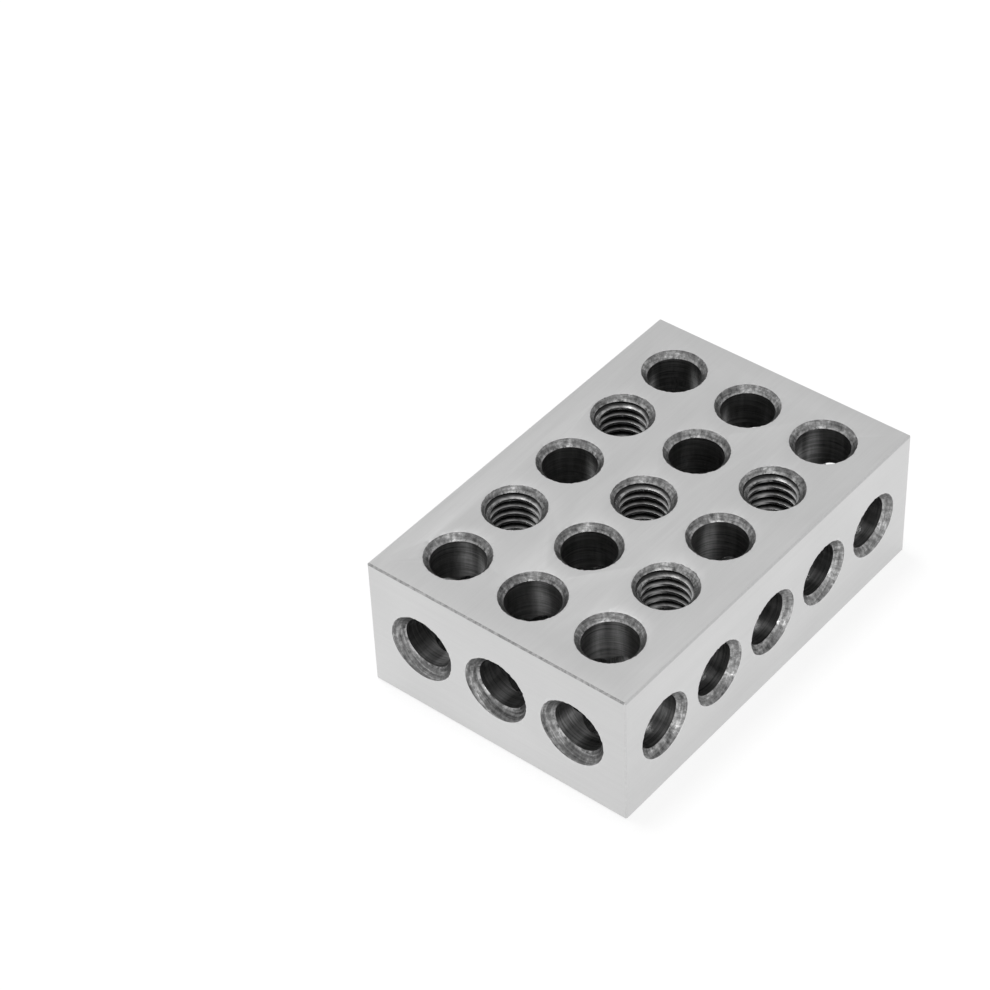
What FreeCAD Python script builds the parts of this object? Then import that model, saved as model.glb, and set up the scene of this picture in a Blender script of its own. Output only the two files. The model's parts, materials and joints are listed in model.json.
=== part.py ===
"""Machinist's setup block: one piece of ground steel, drilled through on all three axes.

The block measures one by two by three inches.  Its large faces carry a grid of through
holes, five rows of three.  Five of them, the middle one and its four diagonal neighbours,
are tapped, and the rest are plain.  Plain holes drilled at mid-height through the long
sides and the ends meet the same grid, so every upright hole is crossed on its axis by one
hole along the width and one along the length.  Every mouth is countersunk.

Millimetres.  The origin is at the centre of the bottom face, X runs along the length,
Y along the width and Z up.
"""
import FreeCAD, Part
import math
import os

# ---- the ground block ----
LENGTH = 76.2             # along X
WIDTH = 50.8              # along Y
HEIGHT = 25.4             # along Z
EDGE_BREAK = 0.3          # chamfer that takes the sharpness off each outer edge

# ---- the grid of holes, centred on the block ----
ROWS = 5                  # along X
COLUMNS = 3               # along Y
ROW_PITCH = 14.1          # from one row to the next
COLUMN_PITCH = 15.0       # from one column to the next

# ---- the holes ----
PLAIN_BORE = 9.15         # diameter of the plain holes, the same on all three axes
THREAD_SIZE = 9.525       # outside diameter of the thread in the tapped holes
THREAD_PITCH = 1.5875     # sixteen threads to the inch
TAP_DRILL = THREAD_SIZE - THREAD_PITCH   # diameter that the tapped holes are drilled to

# ---- the countersinks, each a width in radius outside the hole it opens ----
SINK_ANGLE = 82.0         # full angle of the countersinking tool
FACE_SINK = 1.0           # plain holes of the large faces
TAPPED_SINK = 0.65        # tapped holes, measured from the outside of the thread
SIDE_SINK = 1.2           # holes of the long sides
END_SINK = 1.55           # holes of the ends

OVERRUN = 2.0             # how far each drill passes beyond the faces it enters and leaves

X_AXIS = FreeCAD.Vector(1, 0, 0)
Y_AXIS = FreeCAD.Vector(0, 1, 0)
Z_AXIS = FreeCAD.Vector(0, 0, 1)


def from_middle(count):
    """Steps of a pattern counted from its middle, such as -2, -1, 0, 1, 2 for five."""
    return [step - (count - 1) / 2 for step in range(count)]


def is_tapped(row, column):
    """The middle hole and its diagonal neighbours, with rows and columns from the middle."""
    return abs(row) == abs(column)


def ground_block():
    """The plain block with a chamfer on each outer edge."""
    corner = FreeCAD.Vector(-LENGTH / 2, -WIDTH / 2, 0)
    block = Part.makeBox(LENGTH, WIDTH, HEIGHT, corner)
    return block.makeChamfer(EDGE_BREAK, block.Edges)


def through_hole(centre, axis, depth, bore, mouth):
    """What a drill and a countersink at both faces take away, turned about the hole's axis.

    The hole runs along axis through the material's full depth, centred on centre.  bore is
    its diameter and mouth the diameter of each countersink at the face.
    """
    slope = math.tan(math.radians(SINK_ANGLE / 2))
    sink_depth = (mouth - bore) / 2 / slope
    wide = mouth / 2 + OVERRUN * slope
    half = depth / 2
    profile = [
        (0, -half - OVERRUN),
        (wide, -half - OVERRUN),
        (bore / 2, -half + sink_depth),
        (bore / 2, half - sink_depth),
        (wide, half + OVERRUN),
        (0, half + OVERRUN),
    ]
    points = [FreeCAD.Vector(radius, 0, height) for radius, height in profile]
    section = Part.Face(Part.makePolygon(points + points[:1]))
    cutter = section.revolve(FreeCAD.Vector(0, 0, 0), Z_AXIS, 360)
    cutter.Placement = FreeCAD.Placement(centre, FreeCAD.Rotation(Z_AXIS, axis))
    return cutter


def face_holes():
    """Upright holes between the large faces: the whole grid, plain and tapped."""
    holes = []
    for row in from_middle(ROWS):
        for column in from_middle(COLUMNS):
            centre = FreeCAD.Vector(row * ROW_PITCH, column * COLUMN_PITCH, HEIGHT / 2)
            if is_tapped(row, column):
                mouth = THREAD_SIZE + 2 * TAPPED_SINK
                holes.append(through_hole(centre, Z_AXIS, HEIGHT, TAP_DRILL, mouth))
            else:
                mouth = PLAIN_BORE + 2 * FACE_SINK
                holes.append(through_hole(centre, Z_AXIS, HEIGHT, PLAIN_BORE, mouth))
    return holes


def side_holes():
    """Holes across the width at mid-height, one through each row of the grid."""
    mouth = PLAIN_BORE + 2 * SIDE_SINK
    holes = []
    for row in from_middle(ROWS):
        centre = FreeCAD.Vector(row * ROW_PITCH, 0, HEIGHT / 2)
        holes.append(through_hole(centre, Y_AXIS, WIDTH, PLAIN_BORE, mouth))
    return holes


def end_holes():
    """Holes along the length at mid-height, one through each column of the grid."""
    mouth = PLAIN_BORE + 2 * END_SINK
    holes = []
    for column in from_middle(COLUMNS):
        centre = FreeCAD.Vector(0, column * COLUMN_PITCH, HEIGHT / 2)
        holes.append(through_hole(centre, X_AXIS, LENGTH, PLAIN_BORE, mouth))
    return holes


def setup_block():
    """The finished block: ground outside, drilled through and countersunk on three axes."""
    drilled = ground_block()
    for family in (face_holes(), side_holes(), end_holes()):
        drilled = drilled.cut(family)
    return drilled.Solids[0]


os.makedirs("parts", exist_ok=True)
setup_block().exportStep("parts/setup_block.step")
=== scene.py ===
"""Ground steel setup block: the drilled, countersunk and tapped block, its finishes and its studio.

Metres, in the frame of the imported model: the origin is at the centre of the bottom face,
X runs along the length, Y along the width and Z up.
"""
import bpy
import json
import math
from collections import namedtuple
from mathutils import Matrix, Vector


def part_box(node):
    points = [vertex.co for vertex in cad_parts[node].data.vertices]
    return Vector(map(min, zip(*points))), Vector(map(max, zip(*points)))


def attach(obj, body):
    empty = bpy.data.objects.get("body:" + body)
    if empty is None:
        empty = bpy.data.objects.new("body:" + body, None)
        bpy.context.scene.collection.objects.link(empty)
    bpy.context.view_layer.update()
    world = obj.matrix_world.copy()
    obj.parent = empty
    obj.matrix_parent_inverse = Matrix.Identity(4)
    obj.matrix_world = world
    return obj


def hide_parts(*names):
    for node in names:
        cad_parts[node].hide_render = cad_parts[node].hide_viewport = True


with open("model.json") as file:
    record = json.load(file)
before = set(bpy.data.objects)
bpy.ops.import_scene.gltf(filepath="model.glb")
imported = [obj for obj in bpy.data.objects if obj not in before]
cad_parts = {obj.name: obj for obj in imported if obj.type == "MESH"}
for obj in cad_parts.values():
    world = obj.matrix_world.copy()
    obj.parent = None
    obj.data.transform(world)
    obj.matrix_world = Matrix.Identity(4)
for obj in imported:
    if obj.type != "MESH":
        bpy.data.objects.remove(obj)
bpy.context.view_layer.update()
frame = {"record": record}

MM = 0.001
LOW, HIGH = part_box("setup_block")
SIZE = HIGH - LOW
MIDDLE = (LOW + HIGH) / 2
AXES = (Vector((1, 0, 0)), Vector((0, 1, 0)), Vector((0, 0, 1)))

# ---- what the tools cut, beside what the frame gives ----
EDGE_BREAK = 0.3 * MM        # flat ground along every outer edge
SINK_SLOPE = math.tan(math.radians(41))   # countersinks of 82 degrees: growth in radius with depth
SINK_RINGS = 4               # rings of faces down every countersink
SINK_ROUGH = 0.022 * MM      # how far the tool's chatter throws a countersink out of true
RIM_WIDTH = 0.3 * MM         # the rubbed rim round every countersink, seen from above
RIM_SLOPE = 1 / math.tan(math.radians(8))   # the rim leans 8 degrees: growth in radius with depth
THREAD_PITCH = 1.5875 * MM   # sixteen threads to the inch
THREAD_DEPTH = THREAD_PITCH / 2           # from the crest of the tapped thread to its root
ROOT_FLAT = THREAD_PITCH / 8
FLANK_RISE = THREAD_DEPTH * math.tan(math.radians(30))
OVERRUN = 2 * MM             # how far a drill or tap passes beyond the block
RIM_OVERRUN = 0.05 * MM      # and how far the part that rubs the rim does
HAIR = 0.001 * MM            # points closer than this are one point
DRILL_SIDES = 96
TAP_STEPS = 72               # steps in one turn of the tap
SMOOTH_ANGLE = math.radians(30)   # faces that meet at less than this look like one surface

# ---- how faces are told apart by their normals ----
SQUARE_ON = 0.99             # more than this along an axis: a face square to it
BOTH_WAYS = 0.5              # more than this along two axes: an edge flat between them
WALL_LEAN = 0.1              # less than this along the hole: its wall
CONE_LEAN = 0.85             # less than this: its countersink, and more: its rim
SEEDS_FOR_A_HOLE = 20        # numbers set apart for the chatter of each hole

Hole = namedtuple("Hole", "centre axis radius wall tapped")


def holes_of_the_frame():
    """Every hole that the record states: where it is, which way it runs and how wide it is."""
    holes = []
    for mount in frame["record"]["mounts"]:
        if mount["kind"] not in ("bore", "threaded_hole"):
            continue
        axis = max(range(3), key=lambda k: abs(mount["axis"][k]))
        centre = Vector(mount["pos_m"])
        centre[axis] = MIDDLE[axis]
        radius = mount["dims"]["r_mm"] * MM
        wall = mount["dims"]["length_mm"] * MM
        holes.append(Hole(centre, axis, radius, wall, mount["kind"] == "threaded_hole"))
    return holes


HOLES = holes_of_the_frame()


def pitch_along(axis):
    """The distance from one upright hole to the next along one of the block's axes."""
    places = sorted({round(hole.centre[axis], 6) for hole in HOLES if hole.axis == 2})
    return places[1] - places[0]


ROW_PITCH, COLUMN_PITCH = pitch_along(0), pitch_along(1)

# ---- how bright the steel is, where 1 throws back all light ----
GROUND_GREY = 0.63
LIP_HIGHLIGHT_GREY = 0.45              # painted highlight on the edge between a countersink and its bore
LIP_HIGHLIGHT_START, LIP_HIGHLIGHT_END = 0.1, 0.3     # where that painted highlight fades, in millimetres outside the bore


# ------------------------------------------------------------------ finishes

class Finish:
    """A material on the block, with its nodes added one at a time."""

    def __init__(self, name):
        self.material = bpy.data.materials.new(name)
        self.material.use_nodes = True
        self.tree = self.material.node_tree
        self.shader = self.tree.nodes["Principled BSDF"]

    def node(self, kind, inputs=(), **settings):
        """Adds a node, sets it, and feeds its inputs in order with numbers or other outputs."""
        made = self.tree.nodes.new("ShaderNode" + kind)
        for key, value in settings.items():
            setattr(made, key, value)
        for place, value in enumerate(inputs):
            self.feed(made.inputs[place], value)
        return made

    def feed(self, socket, value):
        if value is None:
            return
        if isinstance(value, bpy.types.NodeSocket):
            self.tree.links.new(value, socket)
        else:
            socket.default_value = value

    def maths(self, operation, *inputs):
        return self.node("Math", inputs, operation=operation).outputs[0]

    def vector_maths(self, operation, *inputs):
        return self.node("VectorMath", inputs, operation=operation).outputs[0]

    def scaled(self, vector, factor):
        made = self.node("VectorMath", (vector,), operation="SCALE")
        self.feed(made.inputs["Scale"], factor)
        return made.outputs[0]

    def object_place(self):
        """Object coordinates, in millimetres."""
        return self.scaled(self.node("TexCoord").outputs["Object"], 1 / MM)

    def noise(self, vector, scale, detail=2.0, rough=0.5, warp=0.0):
        made = self.node("TexNoise", (vector,))
        for name, value in (("Scale", scale), ("Detail", detail), ("Roughness", rough), ("Distortion", warp)):
            made.inputs[name].default_value = value
        return made.outputs["Fac"]

    def spread(self, value, low, high, to_low, to_high):
        """Maps a value from one range to another, held at both ends."""
        made = self.node("MapRange", (value, low, high, to_low, to_high))
        return made.outputs[0]

    def ramp(self, value, *stops):
        """A grey for each value: stops are pairs of place and grey."""
        made = self.node("ValToRGB", (value,))
        points = made.color_ramp.elements
        while len(points) < len(stops):
            points.new(1.0)
        for point, (place, grey) in zip(points, stops):
            point.position = place
            point.color = (grey, grey, grey, 1)
        return made.outputs["Color"]

    def bump(self, height, strength, distance):
        made = self.node("Bump")
        made.inputs["Strength"].default_value = strength
        made.inputs["Distance"].default_value = distance
        self.feed(made.inputs["Height"], height)
        self.feed(self.shader.inputs["Normal"], made.outputs["Normal"])

    def steel(self, base_color, roughness):
        self.feed(self.shader.inputs["Base Color"], base_color)
        self.feed(self.shader.inputs["Roughness"], roughness)
        self.shader.inputs["Metallic"].default_value = 1.0

    def grey(self, value):
        return self.node("CombineColor", (value, value, value)).outputs[0]


def ground_steel(name, lay):
    """Surface ground steel: fine lines along the lay, with a soft cloud of tone over them."""
    finish = Finish(name)
    place = finish.object_place()
    fine = [7.0, 7.0, 7.0]
    broad = [1.6, 1.6, 1.6]
    fine[lay] = 0.12
    broad[lay] = 0.03
    lines = finish.noise(finish.vector_maths("MULTIPLY", place, fine), 1.0, 3.0, 0.6)
    bands = finish.noise(finish.vector_maths("MULTIPLY", place, broad), 1.0, 2.0)
    cloud = finish.noise(place, 0.07, 3.0)
    tone = finish.maths("ADD", finish.spread(lines, 0.3, 0.7, -0.012, 0.012),
                        finish.spread(bands, 0.3, 0.7, -0.008, 0.008))
    tone = finish.maths("ADD", tone, finish.spread(cloud, 0.3, 0.7, -0.012, 0.012))
    grey = finish.maths("ADD", tone, GROUND_GREY)
    finish.steel(finish.grey(grey), finish.spread(lines, 0.2, 0.8, 0.34, 0.42))
    finish.bump(lines, 0.15, 0.004 * MM)
    return finish.material


def broken_edge(name, dark, light, rough):
    """The narrow flats along the outer edges and the rubbed rims of the holes."""
    finish = Finish(name)
    nicks = finish.noise(finish.object_place(), 1.7, 3.0, 0.65)
    finish.steel(finish.grey(finish.spread(nicks, 0.35, 0.65, dark, light)), rough)
    return finish.material


def hole_place(finish, axis):
    """Where a point is in its own hole: its direction from the hole's axis, its distance from
    it, its place along it, and a number of the hole's own.  Millimetres.
    """
    place = finish.node("SeparateXYZ", (finish.object_place(),)).outputs
    spans = ((COLUMN_PITCH, None), (ROW_PITCH, None), (ROW_PITCH, COLUMN_PITCH))[axis]
    across = [k for k in range(3) if k != axis]
    local, numbers = [], []
    for k, span in zip(across, spans):
        if span is None:
            local.append(finish.maths("SUBTRACT", place[k], MIDDLE[k] / MM))
            numbers.append(0.0)
        else:
            local.append(finish.maths("WRAP", place[k], span / MM / 2, -span / MM / 2))
            numbers.append(finish.maths("ROUND", finish.maths("DIVIDE", place[k], span / MM)))
    far_side = finish.maths("GREATER_THAN", place[axis], MIDDLE[axis] / MM)
    from_axis = finish.node("CombineXYZ", (local[0], local[1], 0.0)).outputs[0]
    direction = finish.vector_maths("NORMALIZE", from_axis)
    distance = finish.node("VectorMath", (from_axis,), operation="LENGTH").outputs["Value"]
    number = finish.node("CombineXYZ", (numbers[0], numbers[1], far_side)).outputs[0]
    own = finish.node("TexWhiteNoise", (number,)).outputs["Color"]
    return direction, distance, place[axis], finish.scaled(own, 40.0)


def rings_round(finish, across, around, direction, distance, own):
    """A pattern that runs round the hole: so many marks for each millimetre across it."""
    place = finish.node("CombineXYZ", (finish.maths("MULTIPLY", distance, across), 0.0, 0.0)).outputs[0]
    place = finish.vector_maths("ADD", place, finish.scaled(direction, around))
    return finish.noise(finish.vector_maths("ADD", place, own), 1.0, 3.0, 0.65)


def countersunk_steel(name, axis, shares, tone):
    """The cone that the countersinking tool leaves: torn rings, blotches and chatter across
    them, in the given shares, and a painted highlight: a band painted bright on the edge where the bore
    begins.
    """
    finish = Finish(name)
    direction, distance, _, own = hole_place(finish, axis)
    rings = rings_round(finish, 3.4, 1.5, direction, distance, own)
    blotches = finish.noise(finish.object_place(), 1.3, 4.0, 0.7)
    start = finish.vector_maths("ADD", finish.scaled(direction, 7.0), own)
    across = finish.noise(start, 1.0, 3.0, 0.6)
    mark = 0.0
    for pattern, share in zip((rings, blotches, across), shares):
        mark = finish.maths("MULTIPLY_ADD", pattern, share, mark)
    grey = finish.ramp(mark, (0.38, 0.35 * tone), (0.47, 0.8 * tone), (0.53, 1.1 * tone), (0.62, 2.2 * tone))
    bore = next(hole.radius for hole in HOLES if not hole.tapped) / MM
    # Painted highlight: a bright band painted just outside the bore, broken up by the blotches.
    lip_highlight = finish.spread(distance, bore + LIP_HIGHLIGHT_START, bore + LIP_HIGHLIGHT_END, 1.0, 0.0)
    lip_highlight = finish.maths("MULTIPLY", lip_highlight, finish.spread(blotches, 0.42, 0.6, 0.0, 1.0))
    blend = finish.node("Mix", data_type="RGBA")
    finish.feed(blend.inputs["Factor"], lip_highlight)
    finish.feed(blend.inputs[6], grey)
    blend.inputs[7].default_value = (LIP_HIGHLIGHT_GREY, LIP_HIGHLIGHT_GREY, LIP_HIGHLIGHT_GREY, 1)
    finish.steel(blend.outputs[2], finish.spread(blotches, 0.35, 0.65, 0.5, 0.28))
    finish.bump(mark, 0.9, 0.09 * MM)
    return finish.material


def bored_steel(name, axis):
    """A drilled wall: fine rings from the drill, and streaks along the hole."""
    finish = Finish(name)
    direction, distance, depth, own = hole_place(finish, axis)
    along = finish.node("CombineXYZ", (0.0, 0.0, finish.maths("MULTIPLY", depth, 0.12))).outputs[0]
    along = finish.vector_maths("ADD", along, finish.scaled(direction, 5.0))
    streak = finish.noise(finish.vector_maths("ADD", along, own), 1.0, 3.0, 0.6)
    rings = rings_round(finish, 3.0, 0.7, direction, depth, own)
    mark = finish.maths("MULTIPLY_ADD", streak, 0.3, finish.maths("MULTIPLY", rings, 0.7))
    finish.steel(finish.ramp(mark, (0.38, 0.12), (0.62, 0.3)), 0.4)
    finish.bump(mark, 0.5, 0.04 * MM)
    return finish.material


def tapped_steel():
    """The thread: crests painted bright, partly as polish and partly as a painted highlight, and painted
    darker down to the root, partly as dirt and partly as painted shade.
    """
    finish = Finish("tapped_steel")
    direction, distance, depth, own = hole_place(finish, 2)
    crest = next(hole.radius for hole in HOLES if hole.tapped) / MM
    # Painted light and wear: bright at the crests, as polish and a painted highlight, fading dark to the
    # root, as dirt and painted shade.
    up = finish.spread(distance, crest, crest + THREAD_DEPTH / MM, 1.0, 0.0)
    scuff = rings_round(finish, 2.0, 3.0, direction, depth, own)
    mark = finish.maths("MULTIPLY", up, finish.spread(scuff, 0.35, 0.65, 0.7, 1.05))
    finish.steel(finish.ramp(mark, (0.0, 0.02), (0.4, 0.05), (0.7, 0.28), (1.0, 0.55)), 0.32)
    finish.bump(scuff, 0.4, 0.04 * MM)
    return finish.material


# ------------------------------------------------------------------ modelling

def select_nothing():
    bpy.ops.object.select_all(action="DESELECT")


def pick(piece):
    """Makes a piece the only one selected, and the active one."""
    select_nothing()
    piece.select_set(True)
    bpy.context.view_layer.objects.active = piece


def into_edit():
    bpy.ops.object.mode_set(mode="EDIT")
    bpy.ops.mesh.select_mode(type="VERT")
    bpy.ops.mesh.select_all(action="SELECT")


def out_of_edit():
    bpy.ops.object.mode_set(mode="OBJECT")


def close_tool():
    """Ends the editing of a cutting tool with all its faces turned outwards."""
    bpy.ops.mesh.select_all(action="SELECT")
    bpy.ops.mesh.normals_make_consistent(inside=False)
    out_of_edit()
    mesh = bpy.context.object.data
    if sum(face.area * face.normal.dot(face.center) for face in mesh.polygons) < 0:
        mesh.flip_normals()


def finish_faces(piece, finishes, chosen):
    """Gives a piece its finishes, and each face the one that chosen picks by its normal."""
    for finish in finishes:
        piece.data.materials.append(finish)
    for face in piece.data.polygons:
        face.material_index = finishes.index(chosen(face.normal))


def blank(ground, ground_end, edge, end_edge):
    """The squared block with its outer edges broken, before any hole is drilled."""
    select_nothing()
    bpy.ops.mesh.primitive_cube_add(size=1, location=MIDDLE, scale=SIZE)
    block = bpy.context.object
    block.name = block.data.name = "ground_block"
    bpy.ops.object.transform_apply(location=True, rotation=True, scale=True)
    into_edit()
    bpy.ops.mesh.bevel(offset=EDGE_BREAK, segments=1, affect="EDGES")
    bpy.ops.mesh.normals_make_consistent(inside=False)
    out_of_edit()

    def by_direction(normal):
        if abs(normal.x) > SQUARE_ON:
            return ground_end
        if max(abs(normal.y), abs(normal.z)) > SQUARE_ON:
            return ground
        return end_edge if min(abs(normal.x), abs(normal.z)) > BOTH_WAYS else edge

    finish_faces(block, [ground, ground_end, edge, end_edge], by_direction)
    return block


def pull_out(length, growth, along, centre):
    """Extrudes what is selected along the hole, spreads its far ring, and says where that is."""
    bpy.ops.mesh.extrude_region_move(TRANSFORM_OT_translate={"value": along * length})
    far = centre + along * length
    bpy.ops.transform.resize(value=(growth,) * 3, center_override=far)
    return far


def chatter(seed):
    """Throws the selected ring a little out of true, along its own normals."""
    bpy.ops.transform.vertex_random(offset=SINK_ROUGH, uniform=0.0, normal=1.0, seed=seed)


def sink_outwards(hole, way, start_radius, start):
    """Draws the selected ring out of the block as a countersinking tool with a rubbed rim."""
    along = AXES[hole.axis] * way
    reach = SIZE[hole.axis] / 2
    mouth = hole.radius + (reach - hole.wall / 2) * SINK_SLOPE
    rim_depth = RIM_WIDTH / RIM_SLOPE
    brink = mouth - rim_depth * SINK_SLOPE
    seed = HOLES.index(hole) * SEEDS_FOR_A_HOLE + way
    at, radius = start, start_radius
    for ring in range(SINK_RINGS):
        wider = start_radius + (brink - start_radius) * (ring + 1) / SINK_RINGS
        at = pull_out((wider - radius) / SINK_SLOPE, wider / radius, along, at)
        chatter(seed + 2 * ring)
        radius = wider
    past_face = rim_depth + RIM_OVERRUN
    wider = radius + past_face * RIM_SLOPE
    pull_out(past_face, wider / radius, along, at)


def drill_half(hole, way):
    """Half of a plain drill with its countersink, from the block's middle out of one face."""
    along = AXES[hole.axis] * way
    upright_to_axis = AXES[2].rotation_difference(AXES[hole.axis]).to_euler()
    select_nothing()
    bpy.ops.mesh.primitive_circle_add(
        vertices=DRILL_SIDES, radius=hole.radius, location=hole.centre, rotation=upright_to_axis)
    half = bpy.context.object
    bpy.ops.object.transform_apply(location=True, rotation=True, scale=True)
    into_edit()
    shoulder = pull_out(hole.wall / 2, 1, along, hole.centre)
    sink_outwards(hole, way, hole.radius, shoulder)
    bpy.ops.mesh.edge_face_add()
    out_of_edit()
    return half


def finish_drill(tool, hole, bored, sunk, rim):
    """Faces of the tool carry the finish that they leave behind, told by how far they lean."""
    def by_lean(normal):
        lean = abs(normal[hole.axis])
        if lean < WALL_LEAN:
            return bored
        return sunk if lean < CONE_LEAN else rim

    finish_faces(tool, [bored, sunk, rim], by_lean)


def plain_drill(hole, bored, sunk, rim):
    """The whole tool that cuts a plain hole: two halves that meet in the block's middle."""
    halves = [drill_half(hole, way) for way in (1, -1)]
    pick(halves[0])
    halves[1].select_set(True)
    bpy.ops.object.join()
    drill = bpy.context.object
    into_edit()
    bpy.ops.mesh.remove_doubles(threshold=HAIR)
    close_tool()
    finish_drill(drill, hole, bored, sunk, rim)
    return drill


def tap_countersink(hole, way, bored, sunk, rim):
    """The countersinking tool over one mouth of a tapped hole, with its tip inside the core."""
    along = AXES[2] * way
    reach = SIZE.z / 2
    sink = reach - hole.wall / 2
    tip = hole.radius - sink * SINK_SLOPE / 2
    start = hole.centre + along * (reach - 1.5 * sink)
    select_nothing()
    bpy.ops.mesh.primitive_circle_add(vertices=DRILL_SIDES, radius=tip, fill_type="NGON", location=start)
    cone = bpy.context.object
    bpy.ops.object.transform_apply(location=True, rotation=True, scale=True)
    into_edit()
    sink_outwards(hole, way, tip, start)
    close_tool()
    finish_drill(cone, hole, bored, sunk, rim)
    return cone


def tap(hole, tapped):
    """The tap: a core of the drilled size with the thread's ridge wound round it."""
    turns = math.ceil((SIZE.z + 2 * OVERRUN) / THREAD_PITCH) + 2
    start = MIDDLE.z - turns * THREAD_PITCH / 2
    crest, root = hole.radius, hole.radius + THREAD_DEPTH
    rise_at = THREAD_PITCH - ROOT_FLAT - 2 * FLANK_RISE
    outline = [(crest, 0), (crest, rise_at), (root, rise_at + FLANK_RISE),
               (root, rise_at + FLANK_RISE + ROOT_FLAT), (crest, THREAD_PITCH)]
    select_nothing()
    mesh = bpy.data.meshes.new("tap")
    points = [(radius, 0, start + height) for radius, height in outline]
    mesh.from_pydata(points, [(k, k + 1) for k in range(len(points) - 1)], [])
    tool = bpy.data.objects.new("tap", mesh)
    bpy.context.collection.objects.link(tool)
    pick(tool)
    winding = tool.modifiers.new("winding", "SCREW")
    winding.screw_offset = THREAD_PITCH
    winding.iterations = turns - 1
    winding.steps = winding.render_steps = TAP_STEPS
    winding.use_smooth_shade = False
    bpy.ops.object.modifier_apply(modifier=winding.name)
    into_edit()
    bpy.ops.mesh.remove_doubles(threshold=HAIR)
    for way in (1, -1):
        bpy.ops.mesh.select_all(action="SELECT")
        bpy.ops.mesh.bisect(
            plane_co=(0, 0, MIDDLE.z + way * (SIZE.z / 2 + OVERRUN / 2)), plane_no=(0, 0, way),
            use_fill=True, clear_outer=True)
    bpy.ops.mesh.select_all(action="SELECT")
    bpy.ops.transform.translate(value=(hole.centre.x, hole.centre.y, 0))
    close_tool()
    finish_faces(tool, [tapped], lambda normal: tapped)
    return tool


def cut(block, tools, name):
    """Takes a set of tools away from the block, then puts the tools away."""
    tray = bpy.data.collections.new(name)
    bpy.context.scene.collection.children.link(tray)
    for tool in tools:
        for holder in tool.users_collection:
            holder.objects.unlink(tool)
        tray.objects.link(tool)
    pick(block)
    taking = block.modifiers.new(name, "BOOLEAN")
    taking.operation = "DIFFERENCE"
    taking.solver = "EXACT"
    taking.material_mode = "TRANSFER"
    taking.operand_type = "COLLECTION"
    taking.collection = tray
    bpy.ops.object.modifier_apply(modifier=taking.name)
    for tool in tools:
        bpy.data.objects.remove(tool)
    bpy.data.collections.remove(tray)


def drilled_block(finish):
    """The block with every hole cut, smooth round the holes and crisp at every edge."""
    block = blank(finish["ground"], finish["ground_end"], finish["edge"], finish["end_edge"])
    tapped_holes = [hole for hole in HOLES if hole.tapped]
    for axis in (2, 1, 0):
        left_behind = finish["bored"][axis], finish["sunk"][axis], finish["rim"]
        tools = [plain_drill(hole, *left_behind) for hole in HOLES if hole.axis == axis and not hole.tapped]
        if axis == 2:
            tools += [tap_countersink(hole, way, *left_behind) for hole in tapped_holes for way in (1, -1)]
        cut(block, tools, "drilling")
    cut(block, [tap(hole, finish["tapped"]) for hole in tapped_holes], "tapping")
    pick(block)
    bpy.ops.object.shade_smooth_by_angle(angle=SMOOTH_ANGLE)
    return block


# ------------------------------------------------------------------ studio

CAMERA_AZIMUTH, CAMERA_ELEVATION, CAMERA_ROLL = -48.89, 41.86, -2.82   # degrees
CAMERA_DISTANCE = 505.5 * MM
CAMERA_TARGET = Vector((-2.46, 29.18, 12.0)) * MM
CAMERA_LENS = 110.71         # millimetres, on a sensor 36 wide
PAPER_TONE = 0.8             # the floor's paper, as it lights what is round it
SEEN_PAPER_TONE = 0.25       # and what it shows of its shadow, over its glow
FLOOR_GLOW = 0.75            # what the floor shows of its own, where white is 1
FLOOR_SPREAD = 80            # the floor's size, over the block's
DIM_FROM_HEIGHT = 0.8        # the height, as a share of straight up, where the studio is dimmest
DIMMEST = 0.62               # how bright it is there, where the horizon is 1


def make_camera():
    """The camera, looking down on the end and the long side, tipped a little to one side."""
    azimuth, elevation, roll = map(math.radians, (CAMERA_AZIMUTH, CAMERA_ELEVATION, CAMERA_ROLL))
    outwards = math.cos(elevation)
    back = Vector((math.sin(azimuth) * outwards, -math.cos(azimuth) * outwards, math.sin(elevation)))
    data = bpy.data.cameras.new("camera")
    data.lens = CAMERA_LENS
    camera = bpy.data.objects.new("camera", data)
    bpy.context.scene.collection.objects.link(camera)
    camera.location = CAMERA_TARGET + back * CAMERA_DISTANCE
    camera.rotation_mode = "QUATERNION"
    level = (-back).to_track_quat("-Z", "Y").to_matrix().to_4x4()
    camera.rotation_quaternion = (level @ Matrix.Rotation(roll, 4, "Z")).to_quaternion()
    bpy.context.scene.camera = camera


def floor_paper(name, own_glow):
    """White paper that takes a soft shadow.  Where it has a glow of its own, the eye and the
    steel see it as white, with the shadow still on it.
    """
    finish = Finish(name)
    finish.tree.nodes.remove(finish.shader)
    paper = finish.node("BsdfDiffuse", ((PAPER_TONE, PAPER_TONE, PAPER_TONE, 1),)).outputs[0]
    if own_glow:
        ray = finish.node("LightPath").outputs
        seen = finish.maths("MAXIMUM", ray["Is Camera Ray"], ray["Is Glossy Ray"])
        seen = finish.maths("MAXIMUM", seen, ray["Is Transmission Ray"])
        glow = finish.node("Emission", ((1, 1, 1, 1), own_glow)).outputs[0]
        faded_tone = (SEEN_PAPER_TONE, SEEN_PAPER_TONE, SEEN_PAPER_TONE, 1)
        faded = finish.node("BsdfDiffuse", (faded_tone,)).outputs[0]
        white = finish.node("AddShader", (faded, glow)).outputs[0]
        paper = finish.node("MixShader", (seen, paper, white)).outputs[0]
    finish.feed(finish.tree.nodes["Material Output"].inputs["Surface"], paper)
    return finish.material


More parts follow.
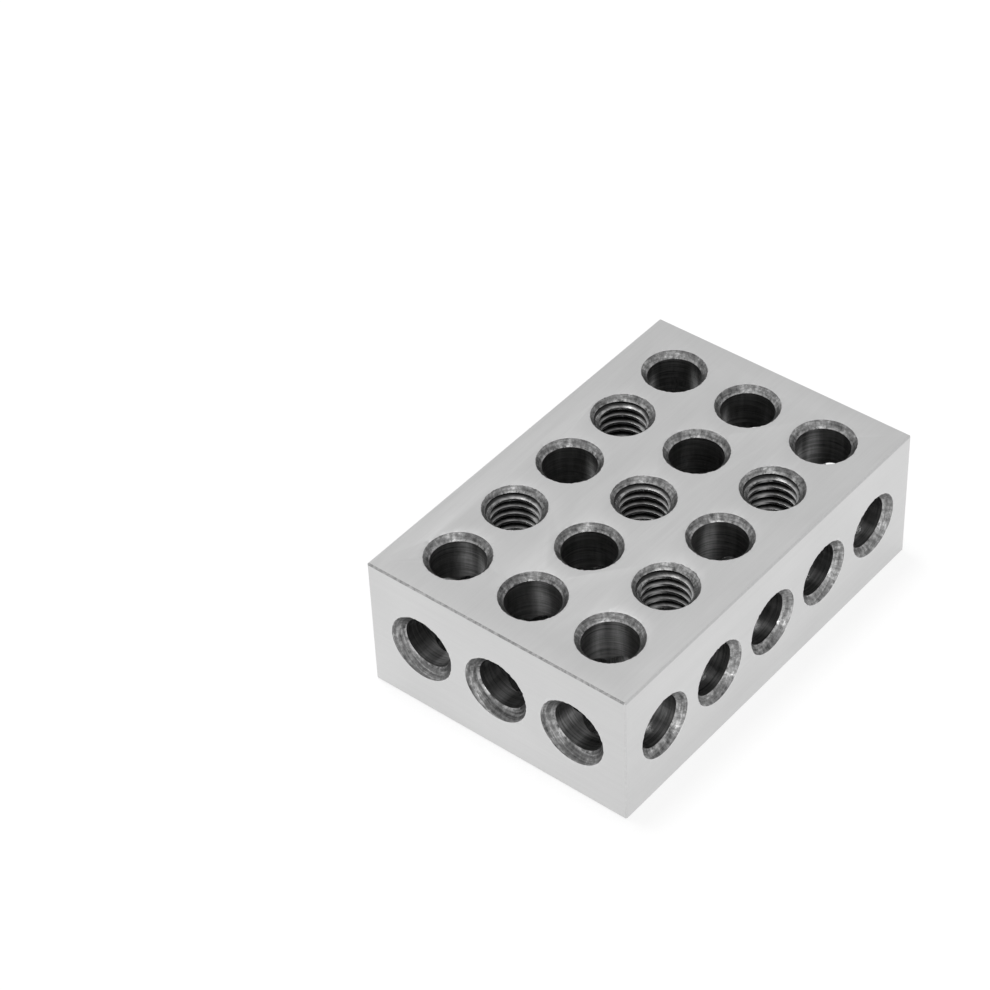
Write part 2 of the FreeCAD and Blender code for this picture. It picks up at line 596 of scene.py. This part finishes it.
def make_floor():
    """The floor is a sheet of paper, in two parts: what the block stands on, and the rest."""
    select_nothing()
    bpy.ops.mesh.primitive_plane_add(size=1, location=(MIDDLE.x, MIDDLE.y, LOW.z))
    floor = bpy.context.object
    floor.name = "floor"
    floor.scale = SIZE - Vector((2, 2, 0)) * EDGE_BREAK
    bpy.ops.object.transform_apply(location=True, rotation=True, scale=True)
    into_edit()
    bpy.ops.mesh.extrude_edges_move()
    bpy.ops.transform.resize(value=(FLOOR_SPREAD, FLOOR_SPREAD, 1))
    out_of_edit()
    for finish in (floor_paper("floor_under_block", 0), floor_paper("floor", FLOOR_GLOW)):
        floor.data.materials.append(finish)
    for face in floor.data.polygons:
        face.material_index = int(face.area > 2 * SIZE.x * SIZE.y)


def make_surroundings():
    """A soft white studio: white to the eye, and dimmer high up where the steel shows it."""
    world = bpy.data.worlds.new("studio")
    bpy.context.scene.world = world
    world.use_nodes = True
    nodes, links = world.node_tree.nodes, world.node_tree.links
    background = nodes["Background"]
    place = nodes.new("ShaderNodeTexCoord")
    apart = nodes.new("ShaderNodeSeparateXYZ")
    height = nodes.new("ShaderNodeMapRange")
    height.inputs["From Min"].default_value = 0.0
    height.inputs["From Max"].default_value = DIM_FROM_HEIGHT
    height.inputs["To Min"].default_value = 1.0
    height.inputs["To Max"].default_value = DIMMEST
    ray = nodes.new("ShaderNodeLightPath")
    choice = nodes.new("ShaderNodeMix")
    links.new(place.outputs["Generated"], apart.inputs[0])
    links.new(apart.outputs["Z"], height.inputs["Value"])
    links.new(ray.outputs["Is Camera Ray"], choice.inputs["Factor"])
    links.new(height.outputs[0], choice.inputs["A"])
    choice.inputs["B"].default_value = 1.0
    links.new(choice.outputs["Result"], background.inputs["Strength"])
    background.inputs["Color"].default_value = (1, 1, 1, 1)


def make_lamp(name, toward, distance, size, brightness):
    """A soft square lamp that faces the block, as bright to look at as so many white papers."""
    data = bpy.data.lights.new(name, "AREA")
    data.shape = "SQUARE"
    data.size = size
    data.energy = brightness * math.pi * size ** 2
    lamp = bpy.data.objects.new(name, data)
    bpy.context.scene.collection.objects.link(lamp)
    lamp.location = MIDDLE + Vector(toward).normalized() * distance
    lamp.rotation_mode = "QUATERNION"
    lamp.rotation_quaternion = (-Vector(toward)).to_track_quat("-Z", "Y")


bpy.context.scene.view_settings.view_transform = "Standard"
make_camera()
make_surroundings()
make_floor()
make_lamp("key", (0.0, 0.18, 0.98), 1.2, 0.25, 28.0)
make_lamp("back", (-0.35, 0.6, 0.72), 1.2, 0.6, 0.5)
make_lamp("front", (-0.56, -0.49, 0.67), 1.1, 0.7, 0.8)
make_lamp("side_window", (-0.485, -0.79, 0.375), 0.9, 0.2, 7.0)

WAYS = ("endwise", "sideways", "upright")
finishes = {
    "ground": ground_steel("ground_lengthwise", 0),
    "ground_end": ground_steel("ground_crosswise", 1),
    "edge": broken_edge("broken_edge", 0.58, 0.63, 0.4),
    # the edges across the ends get a darker, blotchier tone than the other edges
    "end_edge": broken_edge("broken_end_edge", 0.26, 0.52, 0.45),
    "rim": broken_edge("rubbed_rim", 0.6, 0.68, 0.34),
    "bored": [bored_steel("bored_" + way, axis) for axis, way in enumerate(WAYS)],
    "sunk": [countersunk_steel("sunk_endwise", 0, (0.6, 0.3, 0.1), 0.2),
             countersunk_steel("sunk_sideways", 1, (0.4, 0.4, 0.2), 0.25),
             countersunk_steel("sunk_upright", 2, (0.35, 0.45, 0.2), 0.22)],
    "tapped": tapped_steel(),
}
block = drilled_block(finishes)
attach(block, "root")
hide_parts("setup_block")
